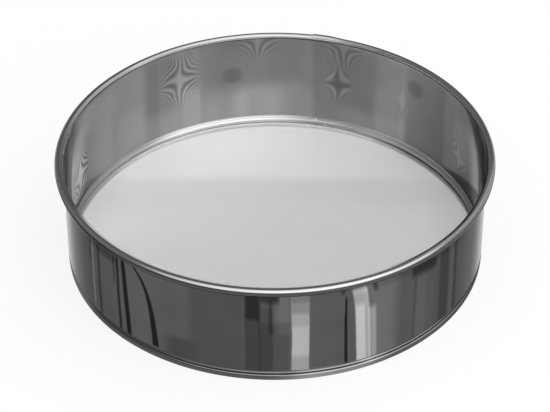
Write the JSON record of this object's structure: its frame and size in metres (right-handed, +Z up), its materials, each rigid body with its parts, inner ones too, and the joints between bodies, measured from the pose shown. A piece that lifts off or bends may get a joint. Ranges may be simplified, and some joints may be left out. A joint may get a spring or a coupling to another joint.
{
  "type": "tamis drum sieve",
  "caption": "Round stainless steel drum sieve with a rolled wired rim, straight wall and a fine wire cloth clamped in its lower edge, for sifting flour and pressing purees.",
  "frame": {"origin": "on the drum's axis, in the plane of the flat ring that it rests on", "axes": "+Z up along the drum's axis towards the rolled rim; +Y towards the side of the lapped seam, which lies at about 76 degrees from +X"},
  "size_m": [0.3118, 0.3118, 0.0836],
  "materials": {
    "polished_strip": "mirror-polished stainless strip",
    "plain_wire": "drawn steel wire, hidden in the rim",
    "wire_cloth": "bright woven stainless wire",
    "polished_ring": "polished stainless flat bar"
  },
  "bodies": {
    "root": {"drum_wall": "polished_strip", "rim_wire": "plain_wire", "mesh_screen": "wire_cloth", "clamp_ring": "polished_ring"}
  },
  "joints": []
}
